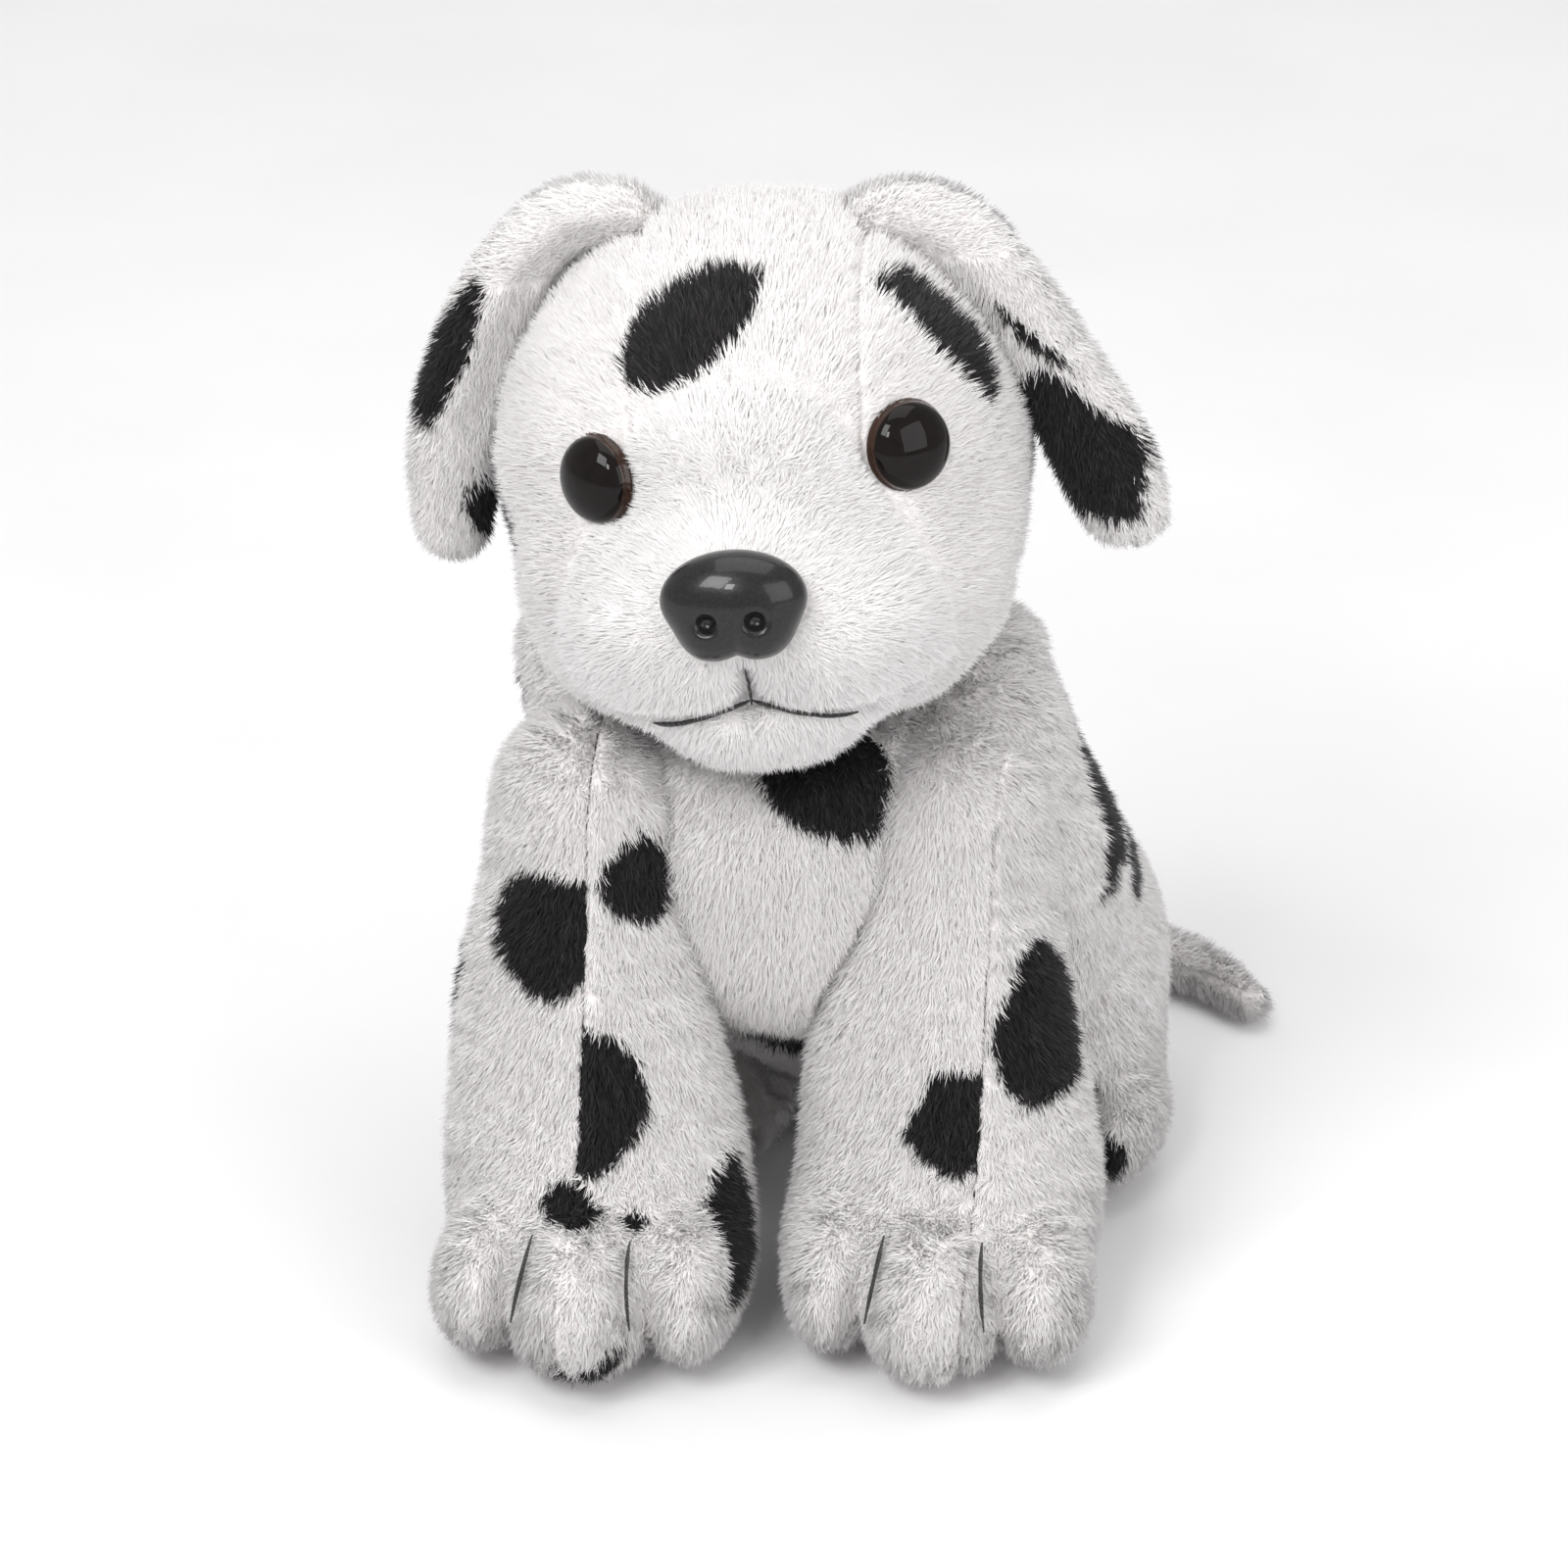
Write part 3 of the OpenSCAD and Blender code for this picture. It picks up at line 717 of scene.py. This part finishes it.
EAR_SPLIT_Y = 3
EARS = {
    "left": [
        (14, 6, 28, 6, 6, 6),
        (18.5, 4, 29, 6.5, 6, 7.5),
        (24, 3, 28, 7, 6, 8.5),
        (29.5, 2, 24, 7, 6, 8.5),
        (34, 1, 17.5, 7, 5.5, 8),
        (38, 1, 10, 7, 5.5, 7.5),
        (41.5, 1, 2.5, 7.5, 5, 7),
        (44, 1, -4.5, 7.5, 5, 7),
        (45.5, 1, -10, 6.5, 4.5, 5.5),
    ],
    "right": [
        (13, 6, 30, 5, 6, 5.5),
        (17, 4, 33, 6, 6, 6),
        (22.5, 3, 33, 6, 6, 6.5),
        (28, 2, 29, 6.5, 6, 7),
        (32.5, 1, 23, 7, 5.5, 7),
        (36, 1, 16, 7.5, 5.5, 7),
        (39, 1, 8.5, 7.5, 5, 7),
        (41, 1, 1, 7, 5, 7),
        (42, 1, -6, 6, 4.5, 6),
    ],
}


def ear_shape(stations):
    def shape(X, Y, Z):
        d = chain(X, Y, Z, stations, 1.5, 4)
        fold = np.array([(s[0] - 2.0, s[1] - s[4] + 0.2, s[2] - 1) for s in stations[1:-2]])
        return smax(d, -thread_field(X, Y, Z, fold, 1.4), 2.6)
    return shape


def ear_nap(p):
    """Pile flows from the root to the tip."""
    return unit(np.column_stack([0.25 + 0 * p[:, 0], -0.1 + 0 * p[:, 0], -1 + 1.1 * (p[:, 2] > 27)])) \
        + np.array([0.3, 0, 0]) * (p[:, 2:3] > 24)


def ear_short(p):
    """Ears are cut from a shorter plush."""
    return np.full(len(p), 0.78)


ear_limbs = {}
for side, word in ((1, "left"), (-1, "right")):
    ear = Limb(f"ear_{word}", (4, -8, -20), (60, 18, 46), 0.6,
               ear_shape(EARS[word]), HEAD_TURN, HEAD_AT, side)
    ear_limbs[word] = ear
    limbs[f"ear_{word}"] = ear

# ---------------------------------------------------------------- torso

LEAN = -3
SEAT_X = 9
TORSO = [
    (LEAN - 1, -27, 80, 36, 22, 12),
    (LEAN + 2, -32, 71, 37, 26, 14),
    (LEAN + 4, -30, 62, 38, 26, 17),
    (LEAN + 7, -25, 52, 38.5, 27, 20),
    (LEAN + 9, -18, 43, 37.5, 27, 21),
    (SEAT_X - 2, -13, 36, 37, 28, 23),
    (SEAT_X - 1, -5, 31, 36, 26, 25),
    (SEAT_X, 1, 27, 35, 26, 27),
    (SEAT_X, 4, 25, 33, 26, 26),
]
CHEST = [((LEAN, -42, 62), (20, 19, 20)), ((LEAN + 1, -39, 50), (19, 19, 18))]


def torso_shape(X, Y, Z):
    d = chain(X, Y, Z, TORSO)
    for place, size in CHEST:
        d = smin(d, ellipsoid(X, Y, Z, place, size), 5)
    d = d + lumps(X, Y, Z, 16, 0.35, 51)
    d = smax(d, -ellipsoid(X, Y, Z, HEAD_AT, (35.5, 35.5, 35.5)), 7)
    return smax(d, FLOOR_GAP - Z, 3)


torso = Limb("torso", (-46, -70, -2), (52, 34, 96), 0.85, torso_shape)
limbs["torso"] = torso
SIDE_SEAM = 19
SOLE_Z = 3            # height of the seams round the seat and the soles


def chest_half(Z):
    """Half width of the chest panel, which narrows down between the legs."""
    return SIDE_SEAM - 11 * np.clip((66 - Z) / 22, 0, 1)


def chest(X, Y, Z):
    """The chest panel, on the front of the torso above the belly."""
    return smax(np.maximum(np.abs(X - LEAN) - chest_half(Z), Y + 34), 20 - Z, 2)


TORSO_PANELS = {
    "chest_panel": chest,
    "seat_panel": lambda X, Y, Z: Z - SOLE_Z,
    "body_panel_left": lambda X, Y, Z: np.maximum(np.maximum(-X, SOLE_Z - Z), -chest(X, Y, Z)),
    "body_panel_right": lambda X, Y, Z: np.maximum(np.maximum(X, SOLE_Z - Z), -chest(X, Y, Z)),
}


def down_nap(p):
    return np.tile([0.0, -0.15, -1.0], (len(p), 1))


# ---------------------------------------------------------------- legs

LEG_X = 22.5
SHOULDER_Y, SHOULDER_Z = -46, 66
HIP = (25, -4, 23)


def front_leg(side):
    """Stations of a front leg; its upper part leans sideways with the chest."""
    def at(x, y, z, rx, ry, rz):
        return (LEG_X + x + side * LEAN * min(max((z - 10) / 35, 0), 1), SHOULDER_Y + y, z, rx, ry, rz)
    return [
        at(0, 0, SHOULDER_Z, 14, 15.5, 15),
        at(0, -2, 56, 15.5, 14.5, 13),
        at(0.5, -5, 46, 17, 14, 12),
        at(1, -8, 36, 18.5, 14, 12),
        at(1, -10, 27, 20, 14.5, 12),
        at(0.5, -13, 19, 20.8, 15.5, 13),
        at(0, -17, 13.5, 21, 16, 13.5),
        at(0, -23, 11, 19.5, 14, 11.5),
    ]


FRONT_TOES = [
    (LEG_X - 13.5, SHOULDER_Y - 27, 10.5, 7.6, 13.5, 10.5),
    (LEG_X, SHOULDER_Y - 31, 10.5, 11, 14.5, 11.8),
    (LEG_X + 13.5, SHOULDER_Y - 27, 10.5, 7.6, 13.5, 10.5),
]
HIND_LEG = [
    (HIP[0], HIP[1], HIP[2], 13, 23, 23),
    (HIP[0], HIP[1] - 4, 17, 13, 21, 17.5),
    (HIP[0] + 0.5, HIP[1] - 8, 12.5, 13, 19, 13),
    (HIP[0] + 1, HIP[1] - 12, 10, 13.5, 15.5, 10.5),
]
HIND_TOES = [
    (HIP[0] - 5.5, HIP[1] - 16, 9, 6.5, 12.5, 9.3),
    (HIP[0] + 1, HIP[1] - 17, 9, 6.8, 13, 9.8),
    (HIP[0] + 7.5, HIP[1] - 16, 9, 6.5, 12.5, 9.3),
]
STITCH_DEEP = 2.4     # how far the toe threads are pulled in
STITCH_CLOSE = 1.6    # how much closer together they lie on top of the paw


def stitch_paths(toes):
    """The two pulled threads between three toes, as points over the toe tops and fronts."""
    x, y, z, _, ry, rz = toes[1]
    apart = abs(toes[2][0] - toes[0][0]) / 4 + 1.2
    a = np.radians(np.linspace(78, 8, 9))
    across = apart - STITCH_CLOSE * np.sin(a)
    ahead = 0.5 - (ry - STITCH_DEEP) * np.cos(a) * 0.97
    above = (rz - STITCH_DEEP) * np.sin(a)
    return [np.column_stack([x + side * across, y + ahead, z + above]) for side in (-1, 1)]


def leg_shape(stations, toes):
    def shape(X, Y, Z):
        d = chain(X, Y, Z, stations)
        for t in toes:
            d = smin(d, ellipsoid(X, Y, Z, t[:3], np.array(t[3:]) - PILE), 3)
        d = d + lumps(X, Y, Z, 16, 0.35, 52)
        for path in stitch_paths(toes):
            d = smax(d, -thread_field(X, Y, Z, path - [0, 0.8, 0], 0.9), 3.0)
        return smax(d, FLOOR_GAP - Z, 4)
    return shape


def leg_nap(p):
    """Down the leg, and forward over the paw."""
    forward = np.clip((26 - p[:, 2]) / 14, 0, 1)
    return unit(np.column_stack([0 * forward, -0.2 - 0.9 * forward, -1 + 0.5 * forward]))


for side, word in ((1, "left"), (-1, "right")):
    at = joint_at(f"front_leg_{word}_swing")
    limbs[f"front_leg_{word}"] = Limb(f"front_leg_{word}", (-2, -96, -2), (50, -26, 86), 0.75,
                                      leg_shape(front_leg(side), FRONT_TOES), None,
                                      (0, at[1] - SHOULDER_Y, 0), side)
    at = joint_at(f"hind_leg_{word}_lift")
    limbs[f"hind_leg_{word}"] = Limb(f"hind_leg_{word}", (8, -42, -2), (44, 18, 50), 0.75,
                                     leg_shape(HIND_LEG, HIND_TOES), None, (SEAT_X, 0, 0), side)

# ---------------------------------------------------------------- tail

TAIL_C = (20, 5)
TAIL_SEAM_Z = 5.5


def tail_stations():
    out = [(6, 24, 12, 9, 9, 9)]
    for i in range(1, 10):
        k = i / 9
        a = math.radians(118 - 83 * k)
        reach, r = 22 + 20 * math.sin(math.pi / 2 * k), 7.6 - 3.4 * k
        out.append((TAIL_C[0] + reach * 1.05 * math.cos(a), TAIL_C[1] + reach * math.sin(a), r, r, r, r))
    return out


TAIL = tail_stations()


def tail_shape(X, Y, Z):
    return smax(chain(X, Y, Z, TAIL, 1.8, 4), FLOOR_GAP - Z, 1.5)


def tail_nap(p):
    """Round the arc of the tail towards its tip."""
    out = p - np.array([TAIL_C[0], TAIL_C[1], 0])
    return unit(np.column_stack([out[:, 1], -out[:, 0], 0 * out[:, 0]]))


limbs["tail"] = Limb("tail", (-6, -2, -1), (68, 50, 24), 0.6, tail_shape)

# ---------------------------------------------------------------- covers

head_spots = [
    Spot(head, (-4.5, -20.5, 26.5), (10, 6.3), (-0.75, -0.45, -0.45), wobble=0.05, seed=1),
    Spot(head, (25.5, -10.5, 21), (10.5, 4.3), (0.64, 0, -0.77), "head_panel_left", seed=2),
    Spot(head, (-33, -3, -7), (14, 9), (0, 0, 1), "head_panel_right", seed=3),
    Spot(head, (34, 10, -4), (10, 7), (0, 0.4, 1), "head_panel_left", seed=4),
    Spot(head, (8, 30, 14), (9, 7), (1, 0, 0.3), seed=5),
    Spot(head, (-18, 25, 18), (6, 5), (1, 0, -0.3), seed=6),
]
for panel, region in HEAD_PANELS.items():
    nodes = [panel] + (["head_stuffing"] if panel == "head_panel_left" else [])
    fabric_panel(head, panel, region, head_nap, head_spots, nodes, face_short, face_bare)

threads("mouth_stitch", [tube(head, path + [0, 0.1, 0], THREAD_R) for path in mouth_sides + [mouth_upright]],
        THREAD_BLACK, "head", ["mouth_thread"])

left, right = ear_limbs["left"], ear_limbs["right"]
ear_spots = {
    "left": [
        Spot(left, (40.5, -2.5, 0.5), (11, 6), (0.45, 0, -0.89), wobble=0.16, seed=11),
        Spot(left, (35.5, -3.2, 16), (6, 0.9), (0.68, 0, -0.73), wobble=0.2, seed=12),
        Spot(left, (33, 7, 18), (8, 4), (0.5, 0, -0.8), "ear_left_outer", seed=13),
    ],
    "right": [
        Spot(right, (39.3, -1.5, 18), (10.5, 3), (0.5, 0, -0.86), seed=14),
        Spot(right, (36.5, -1.5, -3.5), (4.5, 2.2), (0.1, 0, 1), seed=15),
        Spot(right, (36, 6, 8), (7, 4), (0.4, 0, -0.9), "ear_right_outer", seed=16),
    ],
}
for word, ear in ear_limbs.items():
    fabric_panel(ear, f"ear_{word}_outer", lambda X, Y, Z: EAR_SPLIT_Y - Y, ear_nap, ear_spots[word],
                 [f"ear_{word}_outer"], ear_short)
    fabric_panel(ear, f"ear_{word}_lining", lambda X, Y, Z: Y - EAR_SPLIT_Y, ear_nap, ear_spots[word],
                 [f"ear_{word}_lining"], ear_short)

torso_spots = [
    Spot(torso, (5.5, -55.5, 77), (8.2, 7.5), (1, 0, 0), wobble=0.04, seed=21),
    Spot(torso, (38, -25, 64), (13, 5.5), (0, -0.3, -0.95), "body_panel_left", seed=22),
    Spot(torso, (42, -18, 49), (6.5, 4.5), (0, 0.3, -1), seed=23),
    Spot(torso, (-3, -42, 30), (9, 11), (1, 0, 0), wobble=0.05, seed=24),
    Spot(torso, (10, 27, 42), (9, 7), (1, 0, 0.4), seed=25),
    Spot(torso, (-12, 12, 58), (8, 6), (0.4, 0.4, 1), seed=26),
    Spot(torso, (25, 0, 66), (7, 5), (1, 0.6, 0), seed=27),
    Spot(torso, (-29, -10, 50), (9, 7), (0, 0.5, 1), seed=28),
    Spot(torso, (-33, -30, 74), (6, 5), (0, 1, 0.3), seed=29),
]
for panel, region in TORSO_PANELS.items():
    nodes = [panel] + (["torso_stuffing"] if panel == "body_panel_left" else [])
    fabric_panel(torso, panel, region, down_nap, torso_spots, nodes)

fore_left, fore_right = limbs["front_leg_left"], limbs["front_leg_right"]
hind_left, hind_right = limbs["hind_leg_left"], limbs["hind_leg_right"]
leg_spots = {
    "front_leg_left": [
        Spot(fore_left, (34.5, -59, 42.5), (11, 7), (-0.1, 0.4, 0.9), "front_leg_left_outer", 0.06, 31),
        Spot(fore_left, (25, -68.5, 31.5), (7.5, 6.5), (0.4, -0.4, -0.85), "front_leg_left_inner", 0.14, 32),
        Spot(fore_left, (40, -48, 26), (6, 4), (0, 1, 0.3), seed=33),
    ],
    "front_leg_right": [
        Spot(fore_right, (29.5, -61, 55), (8.5, 8), (0, 0, 1), "front_leg_right_outer", 0.06, 34),
        Spot(fore_right, (18, -58.3, 62), (5.8, 5), (0, 0, 1), "front_leg_right_inner", 0.1, 35),
        Spot(fore_right, (24.5, -67, 33.5), (9.5, 8.5), (0, -0.3, -0.95), "front_leg_right_inner", 0.05, 36),
        Spot(fore_right, (24.5, -74.5, 22), (4.2, 3.4), (0.6, 0.7, 0.3), seed=37),
        Spot(fore_right, (16, -75, 21), (1.9, 1.5), (0.8, -0.6, 0), seed=38),
        Spot(fore_right, (4.2, -68, 17), (10.5, 4.5), (-0.1, -0.8, -0.55), seed=39),
        # Painted shadow: a thin black crescent low on the middle toe's front, where the paw meets the floor.
        Spot(fore_right, (19, -88, 5), (5.5, 2), (1, 0.2, 0), seed=40),
        Spot(fore_right, (40, -50, 40), (8, 5), (0, 0, 1), seed=41),
    ],
    "hind_leg_left": [
        Spot(hind_left, (33, -30.5, 8.5), (3, 2), (0, 0, 1), seed=42),
        Spot(hind_left, (36, 8, 20), (6, 5), (0, 1, 0.3), seed=43),
    ],
    "hind_leg_right": [
        Spot(hind_right, (37.5, -4, 28), (8, 6), (0, 1, 0.4), seed=44),
        Spot(hind_right, (33, 12, 30), (5, 4), (0, 1, -0.4), seed=45),
    ],
}
FRONT_SEAM = {"front_leg_left": 27.0, "front_leg_right": 24.5}
for name, spots in leg_spots.items():
    limb = limbs[name]
    toes = FRONT_TOES if name.startswith("front") else HIND_TOES
    middle = FRONT_SEAM.get(name, toes[1][0])
    regions = {
        "outer": lambda X, Y, Z: np.maximum(middle - X, SOLE_Z - Z),
        "inner": lambda X, Y, Z: np.maximum(X - middle, SOLE_Z - Z),
        "sole": lambda X, Y, Z: Z - SOLE_Z,
    }
    for part, region in regions.items():
        nodes = [f"{name}_{part}"] + ([f"{name}_stuffing"] if part == "outer" else [])
        fabric_panel(limb, f"{name}_{part}", region, leg_nap, spots, nodes)
    end, side = name.split("_leg_")
    threads(f"{name}_stitches", [tube(limb, path + [0, -0.2, 0], THREAD_R) for path in stitch_paths(toes)],
            THREAD_BLACK, name, [f"{end}_{side}_toe_stitches"])

fabric_panel(limbs["tail"], "tail_upper", lambda X, Y, Z: TAIL_SEAM_Z - Z, tail_nap, [],
             ["tail_upper", "tail_stuffing"])
fabric_panel(limbs["tail"], "tail_under", lambda X, Y, Z: Z - TAIL_SEAM_Z, tail_nap, [], ["tail_under"])

# ---------------------------------------------------------------- hidden pieces kept from CAD

CARRIED = {"pellet_bag": SACK, "neck_thread": THREAD_WHITE, "nose_washer": NYLON}
for node, material in CARRIED.items():
    for s in frame["nodes"][node].material_slots:
        s.material = material

# ---------------------------------------------------------------- stage, light and camera

def stage():
    mesh = bpy.data.meshes.new("floor")
    w, back, high, bend = 2.0, 1.2, 1.6, 0.5
    profile = [(-w, 0.0)] + [(back - bend + bend * math.sin(a), bend - bend * math.cos(a))
                             for a in np.radians(np.linspace(0, 90, 12))] + [(back, high)]
    points = [(x, y, z) for y, z in profile for x in (-w, w)]
    faces = [(2 * i, 2 * i + 1, 2 * i + 3, 2 * i + 2) for i in range(len(profile) - 1)]
    mesh.from_pydata(points, [], faces)
    for face in mesh.polygons:
        face.use_smooth = True
    m, tree, p = node_material("floor_paper", roughness=0.9, specular=0.1)
    colour, _ = noise_ramp(tree, 12, [(0.4, (0.79, 0.785, 0.79)), (0.6, (0.81, 0.805, 0.81))])
    tree.links.new(colour, p.inputs["Base Color"])
    mesh.materials.append(m)
    floor = bpy.data.objects.new("floor", mesh)
    bpy.context.scene.collection.objects.link(floor)


def area_light(name, at, size, power, aim=(0, -0.04, 0.07)):
    data = bpy.data.lights.new(name, "AREA")
    data.shape = "RECTANGLE"
    data.size, data.size_y = size
    data.energy = power
    obj = bpy.data.objects.new(name, data)
    obj.location = at
    obj.rotation_euler = (Vector(aim) - Vector(at)).to_track_quat("-Z", "Y").to_euler()
    bpy.context.scene.collection.objects.link(obj)


def world():
    w = bpy.data.worlds.new("studio")
    bpy.context.scene.world = w
    w.use_nodes = True
    w.node_tree.nodes["Background"].inputs["Color"].default_value = (1, 1, 1, 1)
    w.node_tree.nodes["Background"].inputs["Strength"].default_value = 0.6


def camera():
    data = bpy.data.cameras.new("camera")
    data.sensor_width = 36
    data.lens = CAMERA_LENS
    obj = bpy.data.objects.new("camera", data)
    a, e = math.radians(CAMERA_AZIMUTH), math.radians(CAMERA_ELEVATION)
    aim = Vector((-0.001, -0.047, 0.0695))
    away = Vector((math.sin(a) * math.cos(e), -math.cos(a) * math.cos(e), math.sin(e)))
    obj.location = aim + away * CAMERA_DISTANCE * MM
    obj.rotation_euler = (-away).to_track_quat("-Z", "Y").to_euler()
    data.clip_start = 0.01
    bpy.context.scene.collection.objects.link(obj)
    bpy.context.scene.camera = obj


stage()
area_light("key", (-0.45, -0.75, 0.95), (0.5, 0.5), 7.0)
area_light("window", (-0.15, -0.9, 0.75), (0.14, 0.2), 1.6)
area_light("fill", (0.8, -0.6, 0.5), (0.8, 0.8), 4.0)
area_light("top", (0.0, 0.1, 1.1), (0.9, 0.9), 4.0)
world()
camera()
bpy.context.scene.view_settings.view_transform = "Standard"
